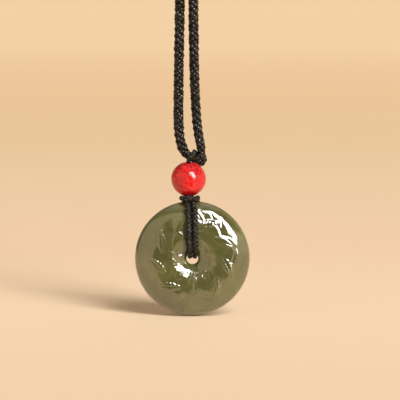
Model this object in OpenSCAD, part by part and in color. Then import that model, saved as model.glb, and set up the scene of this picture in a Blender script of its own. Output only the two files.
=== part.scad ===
// Jade disc pendant on a plaited cord: a carved doughnut disc hangs in a thin cord,
// which passes through a red bead and hooks over the foot of a long neck cord.
// The origin is the inside of the neck cord's top, where it hangs. Z is up, the
// carved face looks towards -Y, and the disc hangs straight below the origin.

/* [Neck cord] */
// Diameter of the plaited neck cord
cord_d = 2.3; // [2.1:0.1:2.4]
// Depth of the cord's foot, where the pendant hooks on, below the hang point
cord_drop = 294; // [290:1:330]
// Share of its diameter that the cord keeps where the pendant squeezes it
foot_squeeze = 0.7; // [0.64:0.02:0.74]

/* [Joiner] */
// Outside diameter of the sleeve that joins the neck cord's two ends
joiner_d = 4.4; // [3.8:0.1:5]
// Length of the sleeve
joiner_l = 12; // [8:1:16]
// Room between the sleeve's bore and the cord
joiner_clearance = 0.1; // [0.05:0.05:0.2]
// Rounding of the sleeve's two ends
joiner_rounding = 0.8; // [0.4:0.1:1]

/* [Red bead] */
// Diameter of the round bead
bead_d = 8; // [7.8:0.1:8.2]
// Diameter of its bore, which two strands of thin cord fill
bead_bore_d = 2.2; // [2.15:0.05:2.4]
// Bevel of the bore's two mouths
bead_bevel = 0.3; // [0.25:0.05:0.4]
// Distance that the bead hangs to the left of the disc's middle
bead_shift = 0.85; // [0.7:0.05:0.9]
// Gap between the bead and the neck cord's foot
bead_seat = 0.08; // [0.06:0.01:0.2]

/* [Jade disc] */
// Outside diameter of the disc
disc_d = 26.4; // [26:0.1:28]
// Thickness at the crest of its face, without the carving
disc_t = 6.6; // [6:0.1:6.8]
// Diameter of the hole through its middle
disc_hole_d = 2.7; // [2.6:0.1:3]
// Diameter of the crest, the highest ring of each face
crest_d = 14.6; // [13:0.1:16]
// Fullness of the rounded section, where 2 is an ellipse
fullness = 2.3; // [2:0.1:2.6]
// How much of the curve from the crest to the axis the hole leaves, where 1 is all of it
inner_reach = 0.93; // [0.9:0.01:0.95]
// Gap between the bead and the disc's rim
rim_gap = 1.05; // [1:0.05:1.2]

/* [Carving] */
// Height that the carving stands above the face
relief_h = 0.25; // [0.15:0.05:0.3]
// Number of leaves round the face
leaf_count = 9; // [7:1:11]
// Length of a leaf from tip to tip
leaf_l = 6.4; // [5:0.2:7]
// Width of a leaf across its middle
leaf_w = 2.3; // [1.8:0.1:2.6]
// Distance of the leaves' middles from the disc's axis
leaf_ring_r = 8.1; // [7.5:0.1:8.5]
// Turn of each leaf out of the ring
leaf_turn = 38; // [20:2:60]
// Outside radius of the small curl at each leaf's foot
curl_r = 1.1; // [0.9:0.1:1.3]
// Width of the curl's band
curl_w = 0.5; // [0.4:0.1:0.6]
// Distance of the curls from the disc's axis
curl_ring_r = 4.7; // [4.4:0.1:5]

/* [Pendant cord] */
// Diameter of the thin plaited cord where nothing squeezes it
thin_d = 1.3; // [1.1:0.05:1.35]

/* [Hidden] */
cord_sides = 8;
// Longest stretch between two rings of the neck cord
ring_gap = 4.6 * cord_d;
// Surfaces that are cut clean away run past each other by this much
past = 1;
section_steps = 9;
foot = [0, 0, -cord_drop];
bead_drop = sqrt(pow(cord_d / 2 * foot_squeeze + bead_seat + bead_d / 2, 2) - pow(bead_shift, 2));
bead_middle = [-bead_shift, 0, -cord_drop - bead_drop];
disc_middle = [0, 0, bead_middle.z - bead_d / 2 - rim_gap - disc_d / 2];

// Route of the neck cord from the joiner, over the top and round the foot.
// Columns: x, y, height above the foot, share of the full diameter.
NECK_ROWS = [
    [-5.9, 0, 246, 1], [-6.9, 0, 266, 1], [-7.3, 0, 282, 1], [-7.1, 0, 287.4, 1], [-5.8, 0, 291.4, 1],
    [-3.3, 0, 294.1, 1], [0, 0, 295.15, 1], [3.3, 0, 294.1, 1], [5.8, 0, 291.4, 1], [7.1, 0, 287.4, 1],
    [7.3, 0, 282, 1], [6.9, 0, 266, 1], [5.8, 0, 240, 1], [3.6, 0, 200, 1], [1.9, 0, 150, 1],
    [0.8, 0, 100, 1], [0.3, 0, 60, 1], [0.25, 0, 36, 1], [0.4, 0, 22.4, 1], [0.7, 0, 13.4, 0.98],
    [1.2, 0, 7, 0.95], [1.55, 0, 4.8, 0.94], [1.82, 0, 3.4, 0.93], [2.02, 0, 2.2, 0.9],
    [2.08, 0, 1.3, 0.84], [1.9, 0, 0.52, 0.79], [1.45, 0, 0.06, 0.74], [0.85, 0, -0.08, 0.7],
    [0.3, 0, -0.02, 0.7], [-0.3, 0, 0.18, 0.71], [-0.92, 0, 0.54, 0.78], [-1.55, 0, 1.1, 0.9],
    [-2.15, 0, 2.05, 1], [-2.62, 0, 3.4, 1], [-3, 0, 5.6, 1], [-3.15, 0, 9.4, 1], [-3.15, 0, 14.4, 1],
    [-3, 0, 24.4, 1], [-2.8, 0, 36, 1], [-2.8, 0, 60, 1], [-3, 0, 100, 1], [-3.4, 0, 150, 1],
    [-4.2, 0, 200, 1], [-5.88, 0, 245.6, 1]
];

// The thin cord's bight over the neck cord's foot, from the bead's mouth and back.
// Columns: x, y, height above the foot, share of the full diameter.
BIGHT_ROWS = [
    [-0.9, -0.92, -0.76, 0.73], [-0.82, -1.42, -0.38, 0.76], [-0.48, -1.7, 0.2, 0.8],
    [0, -1.58, 0.85, 0.8], [0.36, -1.08, 1.28, 0.76], [0.48, -0.35, 1.45, 0.75], [0.48, 0.42, 1.43, 0.75],
    [0.58, 1.2, 1.14, 0.8], [0.98, 1.88, 0.86, 0.88], [1.6, 2.24, 0.75, 0.95], [2.2, 2.24, 0.56, 1],
    [2.58, 2.06, 0.12, 1], [2.7, 1.85, -0.4, 1], [2.6, 1.74, -0.9, 0.98], [2.3, 1.72, -1.28, 0.96],
    [1.88, 1.84, -1.43, 0.94], [1.45, 2.03, -1.33, 0.92], [1.05, 2.1, -1.08, 0.9],
    [0.6, 2.08, -0.82, 0.87], [0.15, 2, -0.6, 0.84], [-0.28, 1.82, -0.45, 0.81],
    [-0.64, 1.55, -0.4, 0.78], [-0.86, 1.2, -0.52, 0.75], [-0.9, 0.88, -0.8, 0.73]
];

// The two strands inside the bead, from its upper mouth down.
// Columns: half the strands' spacing along x and along y, height above the
// bead's middle, share of the full diameter. The cord's two ends stand apart
// between the third row and the fourth.
BORE_ROWS = [
    [0.03, 0.53, 3.5, 0.75], [0.41, 0.38, 1.6, 0.76], [0.53, 0, 0.1, 0.77], [0.53, 0, -0.1, 0.77],
    [0.53, 0, -2.2, 0.77]
];

// The two strands from the bead down the front, through the hole and up the back.
// Columns: the pair's middle x, half their spacing, y, height above the disc's
// middle, share of the full diameter.
PAIR_ROWS = [
    [-0.85, 0.53, -0.03, 14.9, 0.76], [-0.77, 0.54, -0.42, 14.2, 0.78], [-0.64, 0.56, -1.15, 13.62, 0.82],
    [-0.48, 0.58, -1.95, 13.1, 0.86], [-0.34, 0.62, -2.7, 12.45, 0.9], [-0.2, 0.67, -3.2, 11.75, 0.96],
    [-0.1, 0.69, -3.8, 10.45, 1], [-0.04, 0.69, -4.2, 8.65, 1], [0, 0.69, -4.35, 6.85, 1],
    [0, 0.69, -4.15, 4.85, 1], [0, 0.66, -3.65, 3.05, 0.96], [0, 0.61, -2.75, 1.55, 0.9],
    [0, 0.56, -1.6, 0.6, 0.8], [0, 0.54, 0, 0.48, 0.78], [0, 0.56, 1.6, 0.6, 0.8],
    [0, 0.61, 2.65, 1.55, 0.9], [0, 0.67, 3.5, 3.05, 0.96], [0, 0.69, 3.95, 4.85, 1],
    [0, 0.69, 4.1, 6.85, 1], [0, 0.72, 4, 8.65, 1], [-0.05, 0.82, 3.65, 10.45, 1],
    [-0.15, 1.1, 3.1, 11.8, 0.94], [-0.3, 1.4, 2.4, 12.75, 0.9], [-0.45, 1.65, 1.45, 13.42, 0.84]
];

// The collar that the cord makes round its own two strands, under the bead.
// Columns: x, y, height above the disc's middle, share of the full diameter.
COLLAR_ROWS = [
    [1.2, 0.3, 13.85, 0.84], [1.22, -0.9, 13.98, 0.84], [0.95, -2.1, 14, 0.84], [0.25, -2.88, 14, 0.84],
    [-0.6, -3.02, 14, 0.84], [-1.45, -2.8, 14, 0.84], [-2.15, -2.05, 13.95, 0.84],
    [-2.44, -0.95, 13.9, 0.84], [-2.3, 0.3, 13.8, 0.84]
];

// Puts a list of x, y, z, share rows at an anchor.
function from_anchor(rows, anchor) = [
    for (row = rows) [anchor.x + row.x, anchor.y + row.y, anchor.z + row.z, row[3]]
];

// One of the bead's two strands, where side is 1 or -1 and the rows run first to last.
function bore_strand(side, first, last) = [
    for (i = [first : sign(last - first) : last])
        let (row = BORE_ROWS[i])
        [bead_middle.x + side * row[0], side * row[1], bead_middle.z + row[2], row[3]]
];

// One of the pair's two strands, in the same way.
function pair_strand(side, first, last) = [
    for (i = [first : sign(last - first) : last])
        let (row = PAIR_ROWS[i])
        [row[0] + side * row[1], row[2], disc_middle.z + row[3], row[4]]
];

// The thin cord starts and ends in the bead, at these rows of the left strand.
bore_start = 2;
bore_end = 3;
bore_last = len(BORE_ROWS) - 1;
pair_last = len(PAIR_ROWS) - 1;
thin_route = concat(
    bore_strand(-1, bore_start, 0),
    from_anchor(BIGHT_ROWS, foot),
    bore_strand(1, 0, bore_last),
    pair_strand(1, 0, pair_last),
    from_anchor(COLLAR_ROWS, [0, 0, disc_middle.z]),
    pair_strand(-1, pair_last, 0),
    bore_strand(-1, bore_last, bore_end)
);

function place(row) = [row.x, row.y, row.z];
function unit(v) = v / norm(v);

// A point on the smooth curve from row b to row c, a share t of the way, between
// the neighbours a and d.
function curve_point(a, b, c, d, t) =
    let (
        ab = sqrt(norm(place(b) - place(a))),
        bc = sqrt(norm(place(c) - place(b))),
        cd = sqrt(norm(place(d) - place(c))),
        leave = bc * ((b - a) / ab - (c - a) / (ab + bc) + (c - b) / bc),
        reach = bc * ((c - b) / bc - (d - b) / (bc + cd) + (d - c) / cd)
    )
    (2 * pow(t, 3) - 3 * pow(t, 2) + 1) * b + (pow(t, 3) - 2 * pow(t, 2) + t) * leave
    + (3 * pow(t, 2) - 2 * pow(t, 3)) * c + (pow(t, 3) - pow(t, 2)) * reach;

// The rows of a route with more between them where they lie further apart than gap.
function smooth_route(rows, gap) =
    let (last = len(rows) - 1)
    concat(
        [
            for (i = [0 : last - 1])
                let (
                    b = rows[i],
                    c = rows[i + 1],
                    a = i > 0 ? rows[i - 1] : 2 * b - c,
                    d = i + 1 < last ? rows[i + 2] : 2 * c - b,
                    steps = ceil(norm(place(c) - place(b)) / gap)
                )
                for (k = [0 : steps - 1]) curve_point(a, b, c, d, k / steps)
        ],
        [rows[last]]
    );

// A cord as one closed tube with a ring at each row, turned as little as can be
// from ring to ring.
module tube(rows, diameter) {
    last = len(rows) - 1;
    at = [for (row = rows) place(row)];
    along = [
        for (i = [0 : last])
            unit((i < last ? unit(at[i + 1] - at[i]) : [0, 0, 0]) + (i > 0 ? unit(at[i] - at[i - 1]) : [0, 0, 0]))
    ];
    start = unit(cross(along[0], abs(along[0].y) < 0.9 ? [0, 1, 0] : [1, 0, 0]));
    across = [
        for (i = 0, v = start; i <= last; i = i + 1, v = i <= last ? unit(v - (v * along[i]) * along[i]) : v) v
    ];
    rings = [
        for (i = [0 : last])
            for (k = [0 : cord_sides - 1])
                let (
                    turn = 360 * k / cord_sides,
                    other = cross(along[i], across[i])
                )
                at[i] + diameter / 2 * rows[i][3] * (cos(turn) * across[i] + sin(turn) * other)
    ];
    walls = [
        for (i = [0 : last - 1])
            for (k = [0 : cord_sides - 1])
                let (
                    next = (k + 1) % cord_sides,
                    here = i * cord_sides,
                    ahead = here + cord_sides
                )
                each [
                    [here + k, ahead + k, ahead + next],
                    [here + k, ahead + next, here + next]
                ]
    ];
    first_end = [for (k = [0 : cord_sides - 1]) k];
    last_end = [for (k = [cord_sides - 1 : -1 : 0]) last * cord_sides + k];
    polyhedron(points = rings, faces = concat(walls, [first_end, last_end]), convexity = 10);
}

// Points of the disc's section, as radius and half thickness: from the rim to the
// crest by angle, and from the crest to the hole by share. The section is larger by
// grown at the rim and the crest.
function outer_side(angle, grown) = [
    crest_d / 2 + (disc_d / 2 - crest_d / 2 + grown) * pow(cos(angle), 2 / fullness),
    (disc_t / 2 + grown) * sin(angle)
];
function inner_side(share, grown) = [
    crest_d / 2 - (crest_d - disc_hole_d) / 2 * share,
    (disc_t / 2 + grown) * sqrt(1 - pow(inner_reach * share, fullness))
];

// Half of the disc's section, with the axis side left open for the hole.
module disc_section(grown) {
    front = concat(
        [for (i = [0 : section_steps]) outer_side(90 * i / section_steps, grown)],
        [for (i = [1 : section_steps]) inner_side(i / section_steps, grown)]
    );
    back = [for (i = [len(front) - 1 : -1 : 1]) [front[i].x, -front[i].y]];
    polygon(concat(front, back));
}

module disc_body(grown) {
    rotate([90, 0, 0]) rotate_extrude($fn = 96) disc_section(grown);
}

// A leaf is the space that two like circles share.
module leaf() {
    bend = (pow(leaf_l, 2) + pow(leaf_w, 2)) / (4 * leaf_w);
    intersection() {
        translate([0, bend - leaf_w / 2]) circle(r = bend, $fn = 96);
        translate([0, leaf_w / 2 - bend]) circle(r = bend, $fn = 96);
    }
}

module curl() {
    difference() {
        circle(r = curl_r, $fn = 32);
        translate([curl_w * 0.3, 0]) circle(r = curl_r - curl_w, $fn = 32);
    }
}

// The ring of leaves and curls, as an outline seen from the front.
module carving_outline() {
    for (i = [0 : leaf_count - 1]) {
        rotate(360 * (i + 0.5) / leaf_count) {
            translate([0, leaf_ring_r]) rotate(leaf_turn) leaf();
            translate([0, curl_ring_r]) curl();
        }
    }
}

module carving() {
    intersection() {
        disc_body(relief_h);
        rotate([90, 0, 0]) linear_extrude(height = disc_t) carving_outline();
    }
}

module jade_disc() {
    color("#6f7a4a")
    translate(disc_middle) {
        difference() {
            union() {
                disc_body(0);
                carving();
            }
            rotate([90, 0, 0]) cylinder(d = disc_hole_d, h = disc_t + 2 * past, center = true, $fn = 48);
        }
    }
}

module red_bead() {
    mouth_r = bead_bore_d / 2 + bead_bevel;
    mouth_z = sqrt(pow(bead_d / 2, 2) - pow(mouth_r, 2));
    color("#c8202a")
    translate(bead_middle) {
        difference() {
            sphere(d = bead_d, $fn = 64);
            cylinder(d = bead_bore_d, h = bead_d + 2 * past, center = true, $fn = 48);
            for (up = [0, 180]) {
                rotate([up, 0, 0])
                translate([0, 0, mouth_z - bead_bevel])
                cylinder(r1 = bead_bore_d / 2, r2 = mouth_r + past, h = bead_bevel + past, $fn = 48);
            }
        }
    }
}

module pendant_cord() {
    color("#232323") tube(thin_route, thin_d);
}

module neck_cord() {
    color("#1b1b1b") tube(smooth_route(from_anchor(NECK_ROWS, foot), ring_gap), cord_d);
}

// The sleeve lies along the cord, which starts and ends at its middle.
module cord_joiner() {
    first = place(NECK_ROWS[0]);
    last = place(NECK_ROWS[len(NECK_ROWS) - 1]);
    lean = atan2(first.x - last.x, first.z - last.z);
    bore_d = cord_d + 2 * joiner_clearance;
    color("#141414")
    translate(foot + (first + last) / 2)
    rotate([0, lean, 0]) {
        rotate_extrude($fn = 48) {
            difference() {
                union() {
                    translate([0, -joiner_l / 2 + joiner_rounding])
                    square([joiner_d / 2, joiner_l - 2 * joiner_rounding]);
                    translate([0, -joiner_l / 2]) square([joiner_d / 2 - joiner_rounding, joiner_l]);
                    for (up = [-1, 1]) {
                        translate([joiner_d / 2 - joiner_rounding, up * (joiner_l / 2 - joiner_rounding)])
                        circle(r = joiner_rounding, $fn = 24);
                    }
                }
                translate([0, -joiner_l]) square([bore_d / 2, 2 * joiner_l]);
            }
        }
    }
}

neck_cord();
cord_joiner();
pendant_cord();
red_bead();
jade_disc();
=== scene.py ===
import math
import bpy
import numpy as np
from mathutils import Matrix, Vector


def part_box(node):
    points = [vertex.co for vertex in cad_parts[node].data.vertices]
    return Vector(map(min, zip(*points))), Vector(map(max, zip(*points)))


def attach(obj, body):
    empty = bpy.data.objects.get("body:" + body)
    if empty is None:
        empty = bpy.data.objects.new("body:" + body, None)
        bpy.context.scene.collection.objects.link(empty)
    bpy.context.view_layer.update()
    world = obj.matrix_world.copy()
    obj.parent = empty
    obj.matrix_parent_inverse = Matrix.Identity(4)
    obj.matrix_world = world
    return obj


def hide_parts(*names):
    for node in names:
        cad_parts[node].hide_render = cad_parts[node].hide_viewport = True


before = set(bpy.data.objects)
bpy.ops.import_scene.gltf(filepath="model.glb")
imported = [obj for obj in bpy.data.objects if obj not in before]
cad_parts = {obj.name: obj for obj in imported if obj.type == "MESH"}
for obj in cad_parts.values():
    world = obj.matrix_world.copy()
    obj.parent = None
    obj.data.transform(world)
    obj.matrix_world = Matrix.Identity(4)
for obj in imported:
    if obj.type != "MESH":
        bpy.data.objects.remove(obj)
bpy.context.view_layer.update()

# The photograph's view.
# The pendant is seen from the front and a little from above, through a long lens that
# keeps the disc round. The frame is 400 pixels wide, and the red bead's 8 mm sets its scale.
MM = 0.001
PHOTO_SIDE_PX = 400
PX_PER_MM = 4.3625
DISC_MIDDLE_PX = (192.35, 258.2)
LENS_MM = 200
SENSOR_MM = 36
LOOK_DOWN = math.radians(5)

disc_low, disc_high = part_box("jade_disc")
disc_middle = Vector(((disc_low.x + disc_high.x) / 2, 0, (disc_low.z + disc_high.z) / 2))
photo_width = PHOTO_SIDE_PX / PX_PER_MM * MM
right_of_disc = (PHOTO_SIDE_PX / 2 - DISC_MIDDLE_PX[0]) / PX_PER_MM * MM
above_disc = (DISC_MIDDLE_PX[1] - PHOTO_SIDE_PX / 2) / PX_PER_MM * MM / math.cos(LOOK_DOWN)
aim = disc_middle + Vector((right_of_disc, 0, above_disc))
backward = Vector((0, -math.cos(LOOK_DOWN), math.sin(LOOK_DOWN)))
camera_data = bpy.data.cameras.new("camera")
camera_data.lens = LENS_MM
camera_data.sensor_width = SENSOR_MM
camera = bpy.data.objects.new("camera", camera_data)
camera.location = aim + backward * (photo_width * LENS_MM / SENSOR_MM)
camera.rotation_euler = (-backward).to_track_quat("-Z", "Y").to_euler()
camera_data.clip_start = 0.01
camera_data.clip_end = 50
bpy.context.scene.collection.objects.link(camera)
bpy.context.scene.camera = camera


# The neck cord.
# A round plait of eight bundles of waxed black cotton, 2.3 mm thick and 600 mm round. Four
# bundles turn one way and four the other, each over one and under the next.
NECK_CORD_D = 2.3 * MM
FOOT = Vector((0, 0, -294 * MM))
# Columns: x, y, height above the foot in millimetres, share of the full diameter.
NECK_ROWS = [
    [-5.9, 0, 246, 1], [-6.9, 0, 266, 1], [-7.3, 0, 282, 1], [-7.1, 0, 287.4, 1], [-5.8, 0, 291.4, 1],
    [-3.3, 0, 294.1, 1], [0, 0, 295.15, 1], [3.3, 0, 294.1, 1], [5.8, 0, 291.4, 1], [7.1, 0, 287.4, 1],
    [7.3, 0, 282, 1], [6.9, 0, 266, 1], [5.8, 0, 240, 1], [3.6, 0, 200, 1], [1.9, 0, 150, 1],
    [0.8, 0, 100, 1], [0.3, 0, 60, 1], [0.25, 0, 36, 1], [0.4, 0, 22.4, 1], [0.7, 0, 13.4, 0.98],
    [1.2, 0, 7, 0.95], [1.55, 0, 4.8, 0.94], [1.82, 0, 3.4, 0.93], [2.02, 0, 2.2, 0.9],
    [2.08, 0, 1.3, 0.84], [1.9, 0, 0.52, 0.79], [1.45, 0, 0.06, 0.74], [0.85, 0, -0.08, 0.7],
    [0.3, 0, -0.02, 0.7], [-0.3, 0, 0.18, 0.71], [-0.92, 0, 0.54, 0.78], [-1.55, 0, 1.1, 0.9],
    [-2.15, 0, 2.05, 1], [-2.62, 0, 3.4, 1], [-3, 0, 5.6, 1], [-3.15, 0, 9.4, 1], [-3.15, 0, 14.4, 1],
    [-3, 0, 24.4, 1], [-2.8, 0, 36, 1], [-2.8, 0, 60, 1], [-3, 0, 100, 1], [-3.4, 0, 150, 1],
    [-4.2, 0, 200, 1], [-5.88, 0, 245.6, 1],
]
NECK_ROUTE_GAP = 1.5 * MM
NECK_LAY = 6.0 * MM
NECK_STEP = 0.2 * MM


def placed(rows, anchor):
    """Rows of x, y, height and share in millimetres, put at an anchor in metres."""
    points = []
    for x, y, height, share in rows:
        points.append(np.array([anchor[0] + x * MM, anchor[1] + y * MM, anchor[2] + height * MM, share]))
    return points


def smooth_route(rows, gap):
    """The rows with more between them, about gap apart, on a centripetal Catmull-Rom curve."""
    route = []
    last = len(rows) - 1
    for i in range(last):
        start = rows[i]
        end = rows[i + 1]
        before = rows[i - 1] if i > 0 else 2 * start - end
        after = rows[i + 2] if i + 1 < last else 2 * end - start
        # The roots of the three distances keep the curve from looping where rows lie close.
        first, mid, third = (
            math.sqrt(np.linalg.norm((q - p)[:3])) for p, q in ((before, start), (start, end), (end, after))
        )
        leave = mid * ((start - before) / first - (end - before) / (first + mid) + (end - start) / mid)
        reach = mid * ((end - start) / mid - (after - start) / (mid + third) + (after - end) / third)
        steps = math.ceil(mid ** 2 / gap)
        for t in np.arange(steps) / steps:
            route.append(
                (2 * t ** 3 - 3 * t ** 2 + 1) * start + (t ** 3 - 2 * t ** 2 + t) * leave
                + (3 * t ** 2 - 2 * t ** 3) * end + (t ** 3 - t ** 2) * reach
            )
    return np.array(route + [rows[last]])


def add_node(tree, kind, sockets=None, **settings):
    """Adds a node to a tree, with its settings. A socket gets a value, or a link from an output.

    A node given for a socket stands for its first output.
    """
    made = tree.nodes.new(kind)
    for name, value in settings.items():
        setattr(made, name, value)
    for socket, value in (sockets or {}).items():
        if isinstance(value, bpy.types.Node):
            value = value.outputs[0]
        if isinstance(value, bpy.types.NodeSocket):
            tree.links.new(value, made.inputs[socket])
        else:
            made.inputs[socket].default_value = value
    return made


def linear(hex_colour):
    """An sRGB hex colour as linear red, green, blue and alpha."""
    parts = [int(hex_colour[i:i + 2], 16) / 255 for i in (1, 3, 5)]
    return [p / 12.92 if p <= 0.04045 else ((p + 0.055) / 1.055) ** 2.4 for p in parts] + [1]


# How often a strand strays and slackens in one turn, and how far apart in the noise the strands are.
STRAYS_PER_TURN = 1.3
SLACKS_PER_TURN = 2.6
NOISE_APART = 41


def make_plait_tree():
    """The tree that lays strands round a route, over and under each other, and its inputs' identifiers."""
    tree = bpy.data.node_groups.new("plait", "GeometryNodeTree")
    sockets = {}
    tree.interface.new_socket("Route", in_out="INPUT", socket_type="NodeSocketGeometry")
    for name, kind in (
        ("Turn", "Float"), ("Strands", "Int"), ("Reach", "Float"), ("Weave", "Float"), ("Lay", "Float"),
        ("Width", "Float"), ("Thickness", "Float"), ("Step", "Float"), ("Sides", "Int"),
        ("Wander", "Float"), ("Unevenness", "Float"), ("Material", "Material"),
    ):
        made = tree.interface.new_socket(name, in_out="INPUT", socket_type="NodeSocket" + kind)
        sockets[name] = made.identifier
    tree.interface.new_socket("Strands", in_out="OUTPUT", socket_type="NodeSocketGeometry")
    given = add_node(tree, "NodeGroupInput").outputs

    # One copy of the route for each strand, in even steps.
    curve = add_node(tree, "GeometryNodeMeshToCurve", {"Mesh": given["Route"]})
    even = add_node(
        tree, "GeometryNodeResampleCurve", {"Curve": curve, "Length": given["Step"]}, mode="LENGTH"
    )
    strands = add_node(
        tree, "GeometryNodeDuplicateElements", {"Geometry": even, "Amount": given["Strands"]}, domain="SPLINE"
    )
    along = add_node(tree, "GeometryNodeSplineParameter").outputs["Length"]
    share = add_node(tree, "GeometryNodeInputNamedAttribute", {"Name": "share"}).outputs["Attribute"]
    turns = add_node(tree, "ShaderNodeMath", {0: along, 1: given["Lay"]}, operation="DIVIDE")
    index = strands.outputs["Duplicate Index"]
    own_place = add_node(tree, "ShaderNodeMath", {0: index, 1: given["Strands"]}, operation="DIVIDE")

    # The strand's angle round the route, which wanders a little from an even turn.
    drift = add_node(
        tree, "ShaderNodeTexNoise", {"W": turns, "Scale": STRAYS_PER_TURN, "Detail": 2}, noise_dimensions="1D"
    )
    laid = add_node(
        tree, "ShaderNodeMath", {0: turns, 1: given["Turn"], 2: own_place}, operation="MULTIPLY_ADD"
    )
    strayed = add_node(
        tree, "ShaderNodeMath", {0: drift, 1: given["Wander"], 2: laid}, operation="MULTIPLY_ADD"
    )
    angle = add_node(tree, "ShaderNodeMath", {0: strayed, 1: math.tau}, operation="MULTIPLY")

    # Its distance from the route rises and falls as it goes over and under, and is a little slack.
    met = add_node(tree, "ShaderNodeMath", {0: turns, 1: given["Strands"]}, operation="MULTIPLY")
    phase = add_node(tree, "ShaderNodeMath", {0: met, 1: math.tau}, operation="MULTIPLY")
    wave = add_node(tree, "ShaderNodeMath", {0: phase}, operation="COSINE")
    over = add_node(tree, "ShaderNodeMath", {0: wave, 1: given["Turn"]}, operation="MULTIPLY")
    woven = add_node(
        tree, "ShaderNodeMath", {0: over, 1: given["Weave"], 2: given["Reach"]}, operation="MULTIPLY_ADD"
    )
    apart = add_node(tree, "ShaderNodeMath", {0: own_place, 1: NOISE_APART}, operation="MULTIPLY")
    own_way = add_node(tree, "ShaderNodeCombineXYZ", {"X": turns, "Y": apart, "Z": given["Turn"]})
    slack = add_node(
        tree, "ShaderNodeTexNoise", {"Vector": own_way, "Scale": SLACKS_PER_TURN, "Detail": 1}
    )
    either_way = add_node(tree, "ShaderNodeMath", {0: slack, 1: 0.5}, operation="SUBTRACT")
    loose = add_node(
        tree, "ShaderNodeMath", {0: either_way, 1: given["Unevenness"], 2: woven}, operation="MULTIPLY_ADD"
    )
    distance = add_node(tree, "ShaderNodeMath", {0: loose, 1: share}, operation="MULTIPLY")

    # The way out from the route at that angle, kept on the points before they move.
    normal = add_node(tree, "GeometryNodeInputNormal")
    tangent = add_node(tree, "GeometryNodeInputTangent")
    across = add_node(tree, "ShaderNodeVectorMath", {0: tangent, 1: normal}, operation="CROSS_PRODUCT")
    cosine = add_node(tree, "ShaderNodeMath", {0: angle}, operation="COSINE")
    sine = add_node(tree, "ShaderNodeMath", {0: angle}, operation="SINE")
    towards = add_node(tree, "ShaderNodeVectorMath", {0: normal, "Scale": cosine}, operation="SCALE")
    sideways = add_node(tree, "ShaderNodeVectorMath", {0: across, "Scale": sine}, operation="SCALE")
    outward = add_node(tree, "ShaderNodeVectorMath", {0: towards, 1: sideways}, operation="ADD")
    keep = add_node(tree, "GeometryNodeCaptureAttribute", {0: strands}, domain="POINT")
    keep.capture_items.new("VECTOR", "outward")
    keep.capture_items.new("FLOAT", "along")
    keep.capture_items.new("FLOAT", "share")
    for socket, value in zip(list(keep.inputs)[1:4], (outward.outputs[0], along, share)):
        tree.links.new(value, socket)
    kept_outward, kept_along, kept_share = list(keep.outputs)[1:4]
    shift = add_node(tree, "ShaderNodeVectorMath", {0: kept_outward, "Scale": distance}, operation="SCALE")
    wound = add_node(tree, "GeometryNodeSetPosition", {"Geometry": keep, "Offset": shift})
    faced = add_node(
        tree, "GeometryNodeSetCurveNormal", {"Curve": wound, "Normal": kept_outward}, mode="FREE"
    )

    # The bundle's oval section, which knows its place round the oval for the material.
    circle = add_node(
        tree, "GeometryNodeCurvePrimitiveCircle", {"Resolution": given["Sides"], "Radius": 0.5}, mode="RADIUS"
    )
    turned = add_node(tree, "GeometryNodeTransform", {"Geometry": circle, "Rotation": (0, 0, math.pi)})
    round_place = add_node(tree, "GeometryNodeSplineParameter").outputs["Factor"]
    marked = add_node(tree, "GeometryNodeCaptureAttribute", {0: turned}, domain="POINT")
    marked.capture_items.new("FLOAT", "round")
    tree.links.new(round_place, list(marked.inputs)[1])
    size = add_node(tree, "ShaderNodeCombineXYZ", {"X": given["Thickness"], "Y": given["Width"], "Z": 1})
    profile = add_node(tree, "GeometryNodeTransform", {"Geometry": marked, "Scale": size})
    swept = add_node(
        tree, "GeometryNodeCurveToMesh",
        {"Curve": faced, "Profile Curve": profile, "Scale": kept_share, "Fill Caps": True},
    )
    in_mm = add_node(tree, "ShaderNodeMath", {0: kept_along, 1: MM}, operation="DIVIDE")
    place = add_node(tree, "ShaderNodeCombineXYZ", {"X": in_mm, "Y": list(marked.outputs)[1]})
    mapped = add_node(
        tree, "GeometryNodeStoreNamedAttribute", {"Geometry": swept, "Name": "strand", "Value": place},
        data_type="FLOAT2", domain="CORNER",
    )
    smooth = add_node(tree, "GeometryNodeSetShadeSmooth", {"Geometry": mapped})
    real = add_node(tree, "GeometryNodeRealizeInstances", {"Geometry": smooth})
    coated = add_node(tree, "GeometryNodeSetMaterial", {"Geometry": real, "Material": given["Material"]})
    add_node(tree, "NodeGroupOutput", {0: coated})
    return tree, sockets


plait_tree, plait_sockets = make_plait_tree()


def link(piece):
    """Puts a piece into the scene."""
    bpy.context.scene.collection.objects.link(piece)
    return piece


def plait(name, route, **values):
    """A piece whose strands follow a route of x, y, z and share, as a plain mesh."""
    line = bpy.data.meshes.new(name + "_route")
    line.from_pydata(route[:, :3].tolist(), [(i, i + 1) for i in range(len(route) - 1)], [])
    line.attributes.new("share", "FLOAT", "POINT").data.foreach_set("value", route[:, 3])
    carrier = link(bpy.data.objects.new(name + "_route", line))
    modifier = carrier.modifiers.new("plait", "NODES")
    modifier.node_group = plait_tree
    for key, value in values.items():
        modifier[plait_sockets[key]] = value
    made = carrier.evaluated_get(bpy.context.evaluated_depsgraph_get())
    mesh = bpy.data.meshes.new_from_object(made)
    mesh.name = name
    bpy.data.objects.remove(carrier)
    return link(bpy.data.objects.new(name, mesh))


def new_material(name, finish):
    """A material with a shader that has the finish's values, its node tree and the shader."""
    material = bpy.data.materials.new(name)
    material.use_nodes = True
    tree = material.node_tree
    tree.nodes.clear()
    shader = add_node(tree, "ShaderNodeBsdfPrincipled", finish)
    add_node(tree, "ShaderNodeOutputMaterial", {"Surface": shader})
    return material, tree, shader


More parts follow.
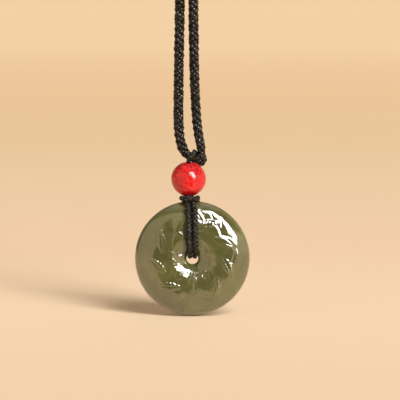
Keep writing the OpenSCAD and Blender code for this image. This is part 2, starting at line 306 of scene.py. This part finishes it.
def thread_material(name, dark, light, threads, twist_mm, roughness):
    """Waxed cotton threads, laid side by side in a flat bundle and twisted.

    Beeswax, of IOR 1.44, gives small hard glints on near black. The threads stand out by 0.03 mm.
    """
    material, tree, shader = new_material(name, {"Roughness": roughness, "IOR": 1.44})
    uv = add_node(tree, "ShaderNodeUVMap", uv_map="strand")
    split = add_node(tree, "ShaderNodeSeparateXYZ", {0: uv})
    twist = add_node(tree, "ShaderNodeMath", {0: split.outputs["X"], 1: 1 / twist_mm}, operation="MULTIPLY")
    turn = add_node(
        tree, "ShaderNodeMath", {0: split.outputs["Y"], 1: threads, 2: twist}, operation="MULTIPLY_ADD"
    )
    angle = add_node(tree, "ShaderNodeMath", {0: turn, 1: math.tau}, operation="MULTIPLY")
    ridge = add_node(tree, "ShaderNodeMath", {0: angle}, operation="SINE")
    place = add_node(tree, "ShaderNodeTexCoord").outputs["Object"]
    fuzz = add_node(tree, "ShaderNodeTexNoise", {"Vector": place, "Scale": 1 / (0.5 * MM), "Detail": 3})
    colour = add_node(
        tree, "ShaderNodeMix", {"Factor": fuzz, 6: linear(dark), 7: linear(light)}, data_type="RGBA"
    )
    tree.links.new(colour.outputs[2], shader.inputs["Base Color"])
    height = add_node(tree, "ShaderNodeMath", {0: ridge, 1: fuzz}, operation="ADD")
    bump = add_node(tree, "ShaderNodeBump", {"Height": height, "Strength": 0.5, "Distance": 0.03 * MM})
    tree.links.new(bump.outputs[0], shader.inputs["Normal"])
    return material


# Painted light and shade: the bundles that turn right are painted lighter, as if lit, and those that
# turn left darker, as if shaded. The right ones are also smoother, as if they took more wax.
neck_thread_painted_lit = thread_material(
    "waxed_cotton_black_painted_lit", "#0c0906", "#1d1710", threads=3, twist_mm=0.9, roughness=0.2
)
neck_thread_painted_shade = thread_material(
    "cotton_black_matt_painted_shade", "#070503", "#130e08", threads=3, twist_mm=0.9, roughness=0.32
)


def plait_core(name, route, cord_d, step, material):
    """The plain threads along a cord's middle, which fill it and show dark between the bundles."""
    core_d = 0.56 * cord_d
    return plait(
        name, route, Turn=0.0, Strands=1, Reach=0.0, Weave=0.0, Lay=cord_d, Width=core_d, Thickness=core_d,
        Step=step, Sides=8, Wander=0.0, Unevenness=0.0, Material=material,
    )


neck_route = smooth_route(placed(NECK_ROWS, FOOT), NECK_ROUTE_GAP)
# The bundles' sizes and places are shares of the cord's thickness.
neck_values = dict(
    Strands=4, Reach=0.345 * NECK_CORD_D, Weave=0.085 * NECK_CORD_D, Lay=NECK_LAY, Width=0.38 * NECK_CORD_D,
    Thickness=0.22 * NECK_CORD_D, Step=NECK_STEP, Sides=6, Wander=0.5, Unevenness=0.12 * NECK_CORD_D,
)
for piece in (
    plait("neck_cord_right_lay", neck_route, Turn=1.0, Material=neck_thread_painted_lit, **neck_values),
    plait("neck_cord_left_lay", neck_route, Turn=-1.0, Material=neck_thread_painted_shade, **neck_values),
    plait_core("neck_cord_core", neck_route, NECK_CORD_D, step=1.5 * MM, material=neck_thread_painted_shade),
):
    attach(piece, "neck_loop")
    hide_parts("neck_cord")

# The joiner.
# The neck cord's two ends meet in a sleeve of the same black thread, wound tightly round
# them and rounded at its ends. It sits high on the loop, behind the neck.
JOINER_D = 4.4 * MM
JOINER_THREAD_W = 0.62 * MM
JOINER_LAY = JOINER_THREAD_W * 0.9
JOINER_TURN_STEPS = 20
JOINER_ROUNDING = 0.8 * MM
# How much thinner the winding is at its very ends, as a share.
JOINER_TAPER = 0.16
JOINER_ROUTE_POINTS = 61
joiner_low, joiner_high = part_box("cord_joiner")
joiner_middle = (joiner_low + joiner_high) / 2
joiner_half = (joiner_high.z - joiner_low.z) / 2 - JOINER_THREAD_W / 2
joiner_lean = Vector(neck_route[-1][:3] - neck_route[0][:3]).normalized()
joiner_route = []
for t in np.linspace(-1, 1, JOINER_ROUTE_POINTS):
    end_room = min(1, (1 - abs(t)) * joiner_half / JOINER_ROUNDING)
    at = joiner_middle + joiner_lean * (t * joiner_half)
    joiner_route.append([at.x, at.y, at.z, 1 - JOINER_TAPER * (1 - end_room) ** 2])
joiner = plait(
    "cord_joiner_whipping", np.array(joiner_route), Turn=1.0, Strands=1, Reach=0.385 * JOINER_D, Weave=0.0,
    Lay=JOINER_LAY, Width=JOINER_THREAD_W, Thickness=0.225 * JOINER_D, Step=JOINER_LAY / JOINER_TURN_STEPS,
    Sides=10, Wander=0.0, Unevenness=0.0, Material=neck_thread_painted_lit,
)
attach(joiner, "neck_loop")
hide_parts("cord_joiner")

# The pendant cord.
# A finer plait of waxed cotton, six bundles over a core, 1.3 mm thick. It hooks over the neck
# cord's foot, goes through the bead, the disc's hole and up the back, and round itself.
PENDANT_CORD_D = 1.3 * MM
PENDANT_LAY = 2.9 * MM
PENDANT_STEP = 0.12 * MM
PENDANT_ROUTE_GAP = 0.25 * MM
BEAD_MIDDLE = Vector((-0.85, 0, -298.8105)) * MM
DISC_MIDDLE = Vector((0, 0, -317.0605)) * MM
# Columns: x, y, height above the neck cord's foot, share of the full diameter.
BIGHT_ROWS = [
    [-0.9, -0.92, -0.76, 0.73], [-0.82, -1.42, -0.38, 0.76], [-0.48, -1.7, 0.2, 0.8],
    [0, -1.58, 0.85, 0.8], [0.36, -1.08, 1.28, 0.76], [0.48, -0.35, 1.45, 0.75], [0.48, 0.42, 1.43, 0.75],
    [0.58, 1.2, 1.14, 0.8], [0.98, 1.88, 0.86, 0.88], [1.6, 2.24, 0.75, 0.95], [2.2, 2.24, 0.56, 1],
    [2.58, 2.06, 0.12, 1], [2.7, 1.85, -0.4, 1], [2.6, 1.74, -0.9, 0.98], [2.3, 1.72, -1.28, 0.96],
    [1.88, 1.84, -1.43, 0.94], [1.45, 2.03, -1.33, 0.92], [1.05, 2.1, -1.08, 0.9],
    [0.6, 2.08, -0.82, 0.87], [0.15, 2, -0.6, 0.84], [-0.28, 1.82, -0.45, 0.81],
    [-0.64, 1.55, -0.4, 0.78], [-0.86, 1.2, -0.52, 0.75], [-0.9, 0.88, -0.8, 0.73],
]
# Columns: half the spacing along x and along y, height above the bead's middle, share.
BORE_ROWS = [
    [0.03, 0.53, 3.5, 0.75], [0.41, 0.38, 1.6, 0.76], [0.53, 0, 0.1, 0.77], [0.53, 0, -0.1, 0.77],
    [0.53, 0, -2.2, 0.77],
]
# Columns: the pair's middle x, half its spacing, y, height above the disc's middle, share.
PAIR_ROWS = [
    [-0.85, 0.53, -0.03, 14.9, 0.76], [-0.77, 0.54, -0.42, 14.2, 0.78], [-0.64, 0.56, -1.15, 13.62, 0.82],
    [-0.48, 0.58, -1.95, 13.1, 0.86], [-0.34, 0.62, -2.7, 12.45, 0.9], [-0.2, 0.67, -3.2, 11.75, 0.96],
    [-0.1, 0.69, -3.8, 10.45, 1], [-0.04, 0.69, -4.2, 8.65, 1], [0, 0.69, -4.35, 6.85, 1],
    [0, 0.69, -4.15, 4.85, 1], [0, 0.66, -3.65, 3.05, 0.96], [0, 0.61, -2.75, 1.55, 0.9],
    [0, 0.56, -1.6, 0.6, 0.8], [0, 0.54, 0, 0.48, 0.78], [0, 0.56, 1.6, 0.6, 0.8],
    [0, 0.61, 2.65, 1.55, 0.9], [0, 0.67, 3.5, 3.05, 0.96], [0, 0.69, 3.95, 4.85, 1],
    [0, 0.69, 4.1, 6.85, 1], [0, 0.72, 4, 8.65, 1], [-0.05, 0.82, 3.65, 10.45, 1],
    [-0.15, 1.1, 3.1, 11.8, 0.94], [-0.3, 1.4, 2.4, 12.75, 0.9], [-0.45, 1.65, 1.45, 13.42, 0.84],
]
# Columns: x, y, height above the disc's middle, share of the full diameter.
COLLAR_ROWS = [
    [1.2, 0.3, 13.85, 0.84], [1.22, -0.9, 13.98, 0.84], [0.95, -2.1, 14, 0.84], [0.25, -2.88, 14, 0.84],
    [-0.6, -3.02, 14, 0.84], [-1.45, -2.8, 14, 0.84], [-2.15, -2.05, 13.95, 0.84],
    [-2.44, -0.95, 13.9, 0.84], [-2.3, 0.3, 13.8, 0.84],
]


def bore_strand(side, rows):
    """One strand's points in the bead: the right one for 1, and for -1 the same turned half round."""
    return placed([[side * x, side * y, z, share] for x, y, z, share in rows], BEAD_MIDDLE)


def pair_strand(side, rows):
    """One strand's points round the disc: the right one for a side of 1 and the left one for -1."""
    return placed([[x + side * half, y, z, share] for x, half, y, z, share in rows], DISC_MIDDLE)


# The cord's two ends meet on the left in the middle of the bead, between the bore's upper and lower rows.
upper_bore = BORE_ROWS[:3]
lower_bore = BORE_ROWS[3:]
pendant_rows = (
    bore_strand(-1, upper_bore[::-1]) + placed(BIGHT_ROWS, FOOT) + bore_strand(1, BORE_ROWS)
    + pair_strand(1, PAIR_ROWS) + placed(COLLAR_ROWS, DISC_MIDDLE) + pair_strand(-1, PAIR_ROWS[::-1])
    + bore_strand(-1, lower_bore[::-1])
)
pendant_route = smooth_route(pendant_rows, PENDANT_ROUTE_GAP)
# Painted light and shade, as on the neck cord: the bundles that turn right are painted lighter, as if lit,
# and those that turn left darker, as if shaded.
pendant_thread_painted_lit = thread_material(
    "waxed_cotton_fine_painted_lit", "#15140f", "#322f27", threads=2, twist_mm=0.5, roughness=0.14
)
pendant_thread_painted_shade = thread_material(
    "cotton_fine_matt_painted_shade", "#0a0907", "#181610", threads=2, twist_mm=0.5, roughness=0.27
)
pendant_values = dict(
    Strands=3, Reach=0.35 * PENDANT_CORD_D, Weave=0.1 * PENDANT_CORD_D, Lay=PENDANT_LAY,
    Width=0.46 * PENDANT_CORD_D, Thickness=0.22 * PENDANT_CORD_D, Step=PENDANT_STEP, Sides=6, Wander=0.4,
    Unevenness=0.1 * PENDANT_CORD_D,
)
for piece in (
    plait("pendant_cord_right_lay", pendant_route, Turn=1.0, Material=pendant_thread_painted_lit, **pendant_values),
    plait("pendant_cord_left_lay", pendant_route, Turn=-1.0, Material=pendant_thread_painted_shade, **pendant_values),
    plait_core(
        "pendant_cord_core", pendant_route, PENDANT_CORD_D, step=0.3 * MM, material=pendant_thread_painted_shade
    ),
):
    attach(piece, "pendant")
    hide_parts("pendant_cord")

# The red bead.
# A round bead of dyed red stone, ground and polished, with darker veins under the gloss. It
# is drilled through for the two strands, and the drill's edges are eased.
BEAD_R = 4 * MM
BEAD_BORE_R = 1.1 * MM
BEAD_BEVEL = 0.3 * MM
BEAD_PROFILE_POINTS = 65
BEVEL_POINTS = 8
BEAD_ROUND_STEPS = 96


def bead_profile():
    """The bead's section as points of radius and height: the ball upwards, then the bore downwards."""
    mouth_angle = math.acos((BEAD_BORE_R + BEAD_BEVEL) / BEAD_R)
    mouth_z = BEAD_R * math.sin(mouth_angle)
    points = []
    for t in np.linspace(-1, 1, BEAD_PROFILE_POINTS):
        points.append((BEAD_R * math.cos(t * mouth_angle), BEAD_R * math.sin(t * mouth_angle)))
    down = np.linspace(0, 1, BEVEL_POINTS)[1:]
    out = np.linspace(1, 0, BEVEL_POINTS)[:-1]
    for side, part in ((1, down), (-1, out)):
        for t in part:
            radius = BEAD_BORE_R + BEAD_BEVEL * (1 - math.sin(t * math.pi / 2))
            points.append((radius, side * (mouth_z - BEAD_BEVEL * (1 - math.cos(t * math.pi / 2)))))
    return points


def ring_piece(name, points, material, mirrored=False):
    """A smooth closed piece from a section's points at each step of one turn.

    Mirrored is for a section that runs the other way round, so that the faces still point outwards.
    """
    segments, count = points.shape[:2]
    faces = []
    for s in range(segments):
        here = s * count
        there = (s + 1) % segments * count
        for i in range(count):
            after = (i + 1) % count
            if mirrored:
                faces.append((here + i, here + after, there + after, there + i))
            else:
                faces.append((here + i, there + i, there + after, here + after))
    mesh = bpy.data.meshes.new(name)
    mesh.from_pydata(points.reshape(-1, 3).tolist(), [], faces)
    mesh.shade_smooth()
    mesh.materials.append(material)
    return link(bpy.data.objects.new(name, mesh))


# Polished stone, dyed through: a hard gloss on a red that glows a little. Its two reds mottle in
# patches of about a millimetre.
bead_stone, tree, shader = new_material("red_stone_polished", {
    "Roughness": 0.14, "IOR": 1.54, "Subsurface Weight": 0.4, "Subsurface Scale": 1.3 * MM,
    "Subsurface Radius": (1, 0.3, 0.25),
})
place = add_node(tree, "ShaderNodeTexCoord").outputs["Object"]
mottle = add_node(
    tree, "ShaderNodeTexNoise",
    {"Vector": place, "Scale": 1 / (1.1 * MM), "Detail": 5, "Roughness": 0.6, "Distortion": 0.4},
)
mottled = add_node(tree, "ShaderNodeMapRange", {"Value": mottle, "From Min": 0.42, "From Max": 0.58})
stone_red = add_node(
    tree, "ShaderNodeMix", {"Factor": mottled, 6: linear("#c8141d"), 7: linear("#e2322d")}, data_type="RGBA"
)
# The veins are the cracks between grains of about a millimetre, bent by a slower noise.
bend = add_node(tree, "ShaderNodeTexNoise", {"Vector": place, "Scale": 1 / (1.3 * MM), "Detail": 3})
bent = add_node(
    tree, "ShaderNodeVectorMath", {0: bend.outputs["Color"], 1: (1.1 * MM, 1.1 * MM, 1.1 * MM), 2: place},
    operation="MULTIPLY_ADD",
)
grains = add_node(
    tree, "ShaderNodeTexVoronoi", {"Vector": bent, "Scale": 1 / (0.95 * MM)}, feature="DISTANCE_TO_EDGE"
)
vein = add_node(
    tree, "ShaderNodeMapRange", {"Value": grains.outputs["Distance"], "From Min": 0.16, "From Max": 0.02}
)
# Painted shade: the red is darkened towards the top, where the bead lies in shade, and also in patches
# of random tone, and the veins show most there.
height = add_node(tree, "ShaderNodeSeparateXYZ", {0: place}).outputs["Z"]
painted_top_shade = add_node(
    tree, "ShaderNodeMapRange",
    {"Value": height, "From Min": BEAD_MIDDLE.z - BEAD_R / 2, "From Max": BEAD_MIDDLE.z + BEAD_R},
)
patch = add_node(tree, "ShaderNodeTexNoise", {"Vector": place, "Scale": 1 / (2.6 * MM), "Detail": 2})
top_shade_and_patches = add_node(tree, "ShaderNodeMath", {0: painted_top_shade, 1: patch}, operation="ADD")
depth = add_node(
    tree, "ShaderNodeMapRange",
    {"Value": top_shade_and_patches, "From Min": 0.4, "From Max": 1.35, "To Min": 0.05, "To Max": 0.8},
)
vein_share = add_node(tree, "ShaderNodeMath", {0: vein, 1: depth}, operation="MULTIPLY")
shaded = add_node(tree, "ShaderNodeMath", {0: depth, 1: 0.35, 2: vein_share}, operation="MULTIPLY_ADD")
veined = add_node(
    tree, "ShaderNodeMix", {"Factor": shaded, 6: stone_red.outputs[2], 7: linear("#860812")},
    data_type="RGBA",
)
tree.links.new(veined.outputs[2], shader.inputs["Base Color"])
turns = np.arange(BEAD_ROUND_STEPS) * math.tau / BEAD_ROUND_STEPS
bead_radius, bead_height = np.array(bead_profile()).T
bead_x = np.outer(np.cos(turns), bead_radius)
bead_y = np.outer(np.sin(turns), bead_radius)
bead_z = np.tile(bead_height, (BEAD_ROUND_STEPS, 1))
bead_points = np.stack([bead_x, bead_y, bead_z], axis=-1) + np.array(BEAD_MIDDLE)
bead = ring_piece("red_bead_stone", bead_points, bead_stone)
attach(bead, "pendant")
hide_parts("red_bead")

# The jade disc.
# One piece of olive green jade, turned to a doughnut with a small hole, carved in low relief
# with a ring of turned leaves and curls on its face, and waxed to a high polish.

# Its sizes are in millimetres. The section is a superellipse's quarter on each side of the crest,
# where the disc is thickest, and the hole cuts the inner one at INNER_REACH of its width.
DISC_R = 13.2
DISC_HALF_T = 3.3
HOLE_R = 1.35
CREST_R = 7.3
FULLNESS = 2.3
INNER_REACH = 0.93
DISC_ROUND_STEPS = 480
# Steps of the section outside and inside the crest.
FACE_STEPS = (90, 60)
BACK_STEPS = (24, 20)
# The plateau with a lobed rim that the ring of leaves lies on.
PLATEAU_R = 9.1
PLATEAU_H = 0.14
RELIEF_H = 0.25
LEAF_COUNT = 9
LEAF_L = 6.8
LEAF_W = 2.9
LEAF_RING_R = 8.1
LEAF_TURN = 38
# The cut vein along each leaf, and the barbs on both sides of it.
VEIN_DEPTH = 0.07
VEIN_HALF_W = 0.13
BARB_H = 0.022
BARB_SPACING = 0.8
CURL_R = 1.1
CURL_W = 0.5
CURL_RING_R = 4.7
CURL_H = 0.17
# The slight waves that hand polishing leaves: their height and their lengths.
HAND_WAVE = 0.045
WAVE_LENGTHS = (9, 7, 5.5, 4.5, 3.6, 3, 2.4)
# Shallow sweeps near the rim, and hair lines on the slope to the hole.
SWEEP_COUNT = 27
SWEEP_DEPTH = 0.075
HAIR_COUNT = 34
HAIR_DEPTH = 0.025
# Strokes cut beside the hole. Columns: x and z of the middle, length, lean in degrees, height.
STROKES = [[0.5, -5.9, 3.6, 88, 0.1], [2.75, -2.75, 1.8, 84, 0.08]]
STROKE_HALF_W = 0.3
# The petal left of the cord: x and z of its middle, half its width and height, its face's slope.
PETAL = [-2.95, 3.6, 1.7, 2.9, 0.08]
PETAL_H = 0.05


def disc_section():
    """The section as points of radius and depth, down the face's side, which is negative, and up the back."""
    points = []
    for steps, side in ((FACE_STEPS, -1), (BACK_STEPS, 1)):
        half = []
        for t in np.linspace(0, 1, steps[0] + 1):
            angle = math.pi / 2 * t
            radius = CREST_R + (DISC_R - CREST_R) * math.cos(angle) ** (2 / FULLNESS)
            half.append((radius, side * DISC_HALF_T * math.sin(angle)))
        for t in np.linspace(0, 1, steps[1] + 1)[1:]:
            radius = CREST_R - (CREST_R - HOLE_R) * t
            half.append((radius, side * DISC_HALF_T * math.sqrt(1 - (INNER_REACH * t) ** FULLNESS)))
        points += half if side < 0 else half[-1:0:-1]
    return points


def rise(low, high, value):
    """A smooth step from 0 at low to 1 at high."""
    t = np.clip((value - low) / (high - low), 0, 1)
    return t * t * (3 - 2 * t)


def ring_of_leaves(x, z, radius, angle):
    """The height of the plateau and of the leaves and curls on it."""
    rim = PLATEAU_R + 0.45 * np.cos(LEAF_COUNT * angle + 0.8) + 0.3 * np.sin(5 * angle + 0.5)
    height = PLATEAU_H * rise(3.4, 4.6, radius) * (1 - rise(-0.28, 0.28, radius - rim))
    for i in range(LEAF_COUNT):
        at = math.radians(360 * (i + 0.5) / LEAF_COUNT)
        lean = at + math.radians(LEAF_TURN)
        off_x = x + LEAF_RING_R * math.sin(at)
        off_z = z - LEAF_RING_R * math.cos(at)
        along = off_x * math.cos(lean) + off_z * math.sin(lean)
        across = off_z * math.cos(lean) - off_x * math.sin(lean)
        inside = LEAF_W / 2 * (1 - (2 * along / LEAF_L) ** 2) - np.abs(across)
        leaf = RELIEF_H * rise(-0.2, 0.85, inside)
        leaf -= VEIN_DEPTH * np.exp(-(across / VEIN_HALF_W) ** 2) * rise(0.1, 0.5, inside)
        barbs = np.cos(math.tau * (along - 0.9 * np.abs(across)) / BARB_SPACING)
        leaf += BARB_H * barbs * rise(0.05, 0.4, inside) * rise(0.12, 0.35, np.abs(across))
        height = np.maximum(height, leaf)
        from_curl = np.hypot(x + CURL_RING_R * math.sin(at), z - CURL_RING_R * math.cos(at))
        inside = CURL_W / 2 - np.abs(from_curl - CURL_R + CURL_W / 2)
        height = np.maximum(height, CURL_H * rise(0, 0.28, inside + 0.12))
    return height


def hand_waves(x, z, radius):
    """The height of the waves of hand polishing, which fade out at the hole and most of all at the rim."""
    rng = np.random.default_rng(11)
    waves = np.zeros_like(x)
    for length in WAVE_LENGTHS:
        way, phase = rng.uniform(0, math.tau, 2)
        waves += length * np.sin(math.tau * (x * math.cos(way) + z * math.sin(way)) / length + phase)
    return HAND_WAVE * waves / WAVE_LENGTHS[0] * rise(1.6, 3, radius) * (1 - 0.75 * rise(10, 11.5, radius))


def face_relief(x, z):
    """How far the carved face stands above the plain one, at x and z from the disc's middle."""
    radius = np.hypot(x, z)
    angle = np.arctan2(x, z)
    height = ring_of_leaves(x, z, radius, angle)
    height += hand_waves(x, z, radius)
    patches = rise(-0.2, 0.9, np.sin(2 * angle + 1.1) + 0.5 * np.sin(5 * angle))
    sweep = np.clip(np.cos(SWEEP_COUNT * angle + 2.4 * radius), 0, 1) ** 4
    height -= SWEEP_DEPTH * sweep * patches * rise(8.8, 9.6, radius) * (1 - rise(11.2, 11.8, radius))
    hairs = np.clip(np.cos(HAIR_COUNT * angle - 2.1 * radius + 0.8 * np.sin(3 * angle)), 0, 1) ** 3
    height -= HAIR_DEPTH * hairs * rise(2.4, 3, radius) * (1 - rise(5.4, 6.4, radius))
    for stroke_x, stroke_z, length, lean, stroke_h in STROKES:
        lean = math.radians(lean)
        along = (x - stroke_x) * math.cos(lean) + (z - stroke_z) * math.sin(lean)
        across = (z - stroke_z) * math.cos(lean) - (x - stroke_x) * math.sin(lean)
        ends = rise(0, 0.8, length / 2 - np.abs(along))
        height += stroke_h * np.exp(-(across / STROKE_HALF_W) ** 2) * ends
    petal_x, petal_z, half_w, half_h, slope = PETAL
    inside = 1 - np.hypot((x - petal_x) / half_w, (z - petal_z) / half_h)
    height += (PETAL_H + slope * (z - petal_z)) * rise(0, 0.12, inside)
    return height


# Jade is clouded and lets light a little way in. Its wax is a thin clear coat that mirrors the room.
jade, tree, shader = new_material("jade_waxed", {
    "Roughness": 0.06, "IOR": 1.62, "Specular IOR Level": 0.9, "Coat Weight": 1.0, "Coat Roughness": 0.03,
    "Coat IOR": 1.5, "Subsurface Weight": 0.6, "Subsurface Scale": 1.5 * MM,
    "Subsurface Radius": (1, 0.8, 0.35),
})
place = add_node(tree, "ShaderNodeTexCoord").outputs["Object"]
cloud = add_node(
    tree, "ShaderNodeTexNoise",
    {"Vector": place, "Scale": 1 / (6 * MM), "Detail": 5, "Roughness": 0.55, "Distortion": 0.8},
)
clouded = add_node(tree, "ShaderNodeMapRange", {"Value": cloud, "From Min": 0.35, "From Max": 0.68})
jade_green = add_node(
    tree, "ShaderNodeMix", {"Factor": clouded, 6: linear("#4c4d28"), 7: linear("#5a5a2f")}, data_type="RGBA"
)
tree.links.new(jade_green.outputs[2], shader.inputs["Base Color"])
section_radius, section_depth = np.array(disc_section()).T
turns = np.arange(DISC_ROUND_STEPS) * math.tau / DISC_ROUND_STEPS
disc_x = np.outer(np.cos(turns), section_radius)
disc_y = np.tile(section_depth, (DISC_ROUND_STEPS, 1))
disc_z = np.outer(np.sin(turns), section_radius)
# The carving fades out before the rim.
carved = (disc_y < 0) * (1 - rise(11.8, 12.6, np.hypot(disc_x, disc_z)))
disc_points = np.stack([disc_x, disc_y - carved * face_relief(disc_x, disc_z), disc_z], axis=-1)
disc = ring_piece("jade_disc_stone", disc_points * MM + np.array(DISC_MIDDLE), jade, mirrored=True)
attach(disc, "pendant")
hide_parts("jade_disc")

# The floor and the light.
# Warm cream paper lies just under the disc and runs far back. A tall soft box leans over from
# the upper right in front, pale cards stand to both sides, and the rest of the room is dark.
# The side is in metres, so long that the paper's edge lies at the horizon.
FLOOR_SIDE = 400
FLOOR_GAP = 0.2 * MM
# The stretch over which the paper's tone changes, in metres behind the pendant, and how much later
# it does so to the sides and in front.
TONE_START = -0.2
TONE_END = 3.2
TONE_DELAY = 0.6
floor_z = disc_low.z - FLOOR_GAP
reach = FLOOR_SIDE / 2
corners = [(x * reach, y * reach, floor_z) for x, y in ((-1, -1), (1, -1), (1, 1), (-1, 1))]
floor_mesh = bpy.data.meshes.new("floor")
floor_mesh.from_pydata(corners, [], [(0, 1, 2, 3)])
# Uncoated paper has no gloss. Its tone is painted light and shade for how the light falls on it:
# lightest where the pendant stands, dipping a little behind it and lightening again further back,
# and far off it is the same on all sides.
paper, tree, shader = new_material("paper_cream", {"Roughness": 0.9, "Specular IOR Level": 0.1})
place = add_node(tree, "ShaderNodeTexCoord").outputs["Object"]
split = add_node(tree, "ShaderNodeSeparateXYZ", {0: place})
distance = add_node(tree, "ShaderNodeVectorMath", {0: place}, operation="LENGTH").outputs["Value"]
around = add_node(tree, "ShaderNodeMath", {0: distance, 1: TONE_DELAY}, operation="SUBTRACT")
back = add_node(tree, "ShaderNodeMath", {0: split.outputs["Y"], 1: around}, operation="MAXIMUM")
far = add_node(tree, "ShaderNodeMapRange", {"Value": back, "From Min": TONE_START, "From Max": TONE_END})
tone = add_node(tree, "ShaderNodeValToRGB", {0: far})
tone.color_ramp.elements[0].color = linear("#dbc4a9")
tone.color_ramp.elements[1].color = linear("#e0c7a6")
for at, colour in (
    (0.06, "#e3ceb3"), (0.1, "#dec6ab"), (0.15, "#dac3a6"), (0.26, "#d5bd9b"), (0.42, "#d8bc99"),
):
    tone.color_ramp.elements.new(at).color = linear(colour)
# Painted shade: for every ray but the camera's, the paper in front is painted dark between two lines
# that run out from under the pendant, so the stones mirror it as dark. The camera's own view of the
# paper leaves that out.
across = add_node(
    tree, "ShaderNodeMath", {0: split.outputs["X"], 1: split.outputs["Y"]}, operation="DIVIDE"
)
seen = add_node(tree, "ShaderNodeLightPath").outputs["Is Camera Ray"]
dark = add_node(tree, "ShaderNodeMath", {0: 1.0, 1: seen}, operation="SUBTRACT")
for measure, start, end in (
    (across, 0.38, 0.27), (across, -0.66, -0.52), (split.outputs["Y"], -0.028, -0.036),
):
    edge = add_node(
        tree, "ShaderNodeMapRange", {"Value": measure, "From Min": start, "From Max": end},
        interpolation_type="SMOOTHSTEP",
    )
    dark = add_node(tree, "ShaderNodeMath", {0: dark, 1: edge}, operation="MULTIPLY")
paper_colour = add_node(
    tree, "ShaderNodeMix", {"Factor": dark, 6: tone, 7: linear("#2c2924")}, data_type="RGBA"
)
tree.links.new(paper_colour.outputs[2], shader.inputs["Base Color"])
floor_mesh.materials.append(paper)
floor = link(bpy.data.objects.new("floor", floor_mesh))

world = bpy.data.worlds.new("studio")
world.use_nodes = True
tree = world.node_tree
tree.nodes.clear()
way = add_node(tree, "ShaderNodeTexCoord").outputs["Generated"]


def card(azimuth, elevation, lean, half_width, half_height, soft, radiance):
    """Light from a far rectangle, so many degrees to the right of the front, up, and leaning to the left.

    Its sizes are tangents of the angles at which the pendant sees them.
    """
    turn = math.radians(azimuth)
    up = math.radians(elevation)
    facing = Vector((math.sin(turn) * math.cos(up), -math.cos(turn) * math.cos(up), math.sin(up)))
    level = Vector((math.cos(turn), math.sin(turn), 0))
    tilt = math.radians(lean)
    right = level * math.cos(tilt) + facing.cross(level) * math.sin(tilt)
    ahead = add_node(tree, "ShaderNodeVectorMath", {0: way, 1: facing}, operation="DOT_PRODUCT")
    ahead = ahead.outputs["Value"]
    lit = add_node(tree, "ShaderNodeMath", {0: ahead, 1: 0.0}, operation="GREATER_THAN")
    for axis, half_side in ((right, half_width), (facing.cross(right), half_height)):
        part = add_node(tree, "ShaderNodeVectorMath", {0: way, 1: axis}, operation="DOT_PRODUCT")
        slope = add_node(tree, "ShaderNodeMath", {0: part.outputs["Value"], 1: ahead}, operation="DIVIDE")
        size = add_node(tree, "ShaderNodeMath", {0: slope}, operation="ABSOLUTE")
        edge = add_node(
            tree, "ShaderNodeMapRange",
            {"Value": size, "From Min": half_side + soft, "From Max": half_side - soft},
            interpolation_type="SMOOTHSTEP",
        )
        lit = add_node(tree, "ShaderNodeMath", {0: lit, 1: edge}, operation="MULTIPLY")
    return add_node(tree, "ShaderNodeVectorMath", {0: radiance, "Scale": lit}, operation="SCALE")


# The wall behind the pendant is lit, most of all low and to the right. The rest of the room is dark.
split = add_node(tree, "ShaderNodeSeparateXYZ", {0: way})
wall = 1.0
for axis, start, end, least in (("Y", -0.25, 0.25, 0), ("Z", 0.5, 0.2, 0.5), ("X", -0.7, 0.2, 0.3)):
    part = add_node(
        tree, "ShaderNodeMapRange",
        {"Value": split.outputs[axis], "From Min": start, "From Max": end, "To Min": least},
        interpolation_type="SMOOTHSTEP",
    )
    wall = add_node(tree, "ShaderNodeMath", {0: wall, 1: part}, operation="MULTIPLY")
room = add_node(
    tree, "ShaderNodeMix", {"Factor": wall, 6: (0.04, 0.035, 0.03, 1), 7: (0.90, 0.68, 0.45, 1)},
    data_type="RGBA",
)
ceiling = add_node(
    tree, "ShaderNodeMapRange",
    {"Value": split.outputs["Z"], "From Min": 0.75, "From Max": 0.95, "To Max": 0.3},
    interpolation_type="SMOOTHSTEP",
)
light = add_node(tree, "ShaderNodeVectorMath", {0: room.outputs[2], 1: ceiling}, operation="ADD")
# The soft box, two narrow strips of light beside it, and the pale cards on the left and the right.
# Columns: degrees to the right, up and of lean, half the width and height, soft edge, radiance.
for values in (
    (33, 31, 20, 0.17, 0.37, 0.04, (20.4, 19.3, 18.4)),
    (39, 4, 0, 0.025, 0.11, 0.01, (14, 13.4, 12.6)),
    (8, 38, 0, 0.014, 0.24, 0.006, (16, 15.4, 14.6)),
    (-56, 16, 0, 0.85, 0.62, 0.06, (0.74, 0.59, 0.38)),
    (60, 8, 0, 0.62, 0.3, 0.05, (1.15, 0.94, 0.62)),
):
    light = add_node(tree, "ShaderNodeVectorMath", {0: light, 1: card(*values)}, operation="ADD")
# The camera itself sees the paper's far tone there.
seen = add_node(tree, "ShaderNodeLightPath").outputs["Is Camera Ray"]
shown = add_node(tree, "ShaderNodeMix", {"Factor": seen, 6: light, 7: linear("#f4d1a5")}, data_type="RGBA")
surround = add_node(tree, "ShaderNodeBackground", {"Color": shown.outputs[2]})
add_node(tree, "ShaderNodeOutputWorld", {"Surface": surround})
bpy.context.scene.world = world
bpy.context.scene.view_settings.view_transform = "Standard"
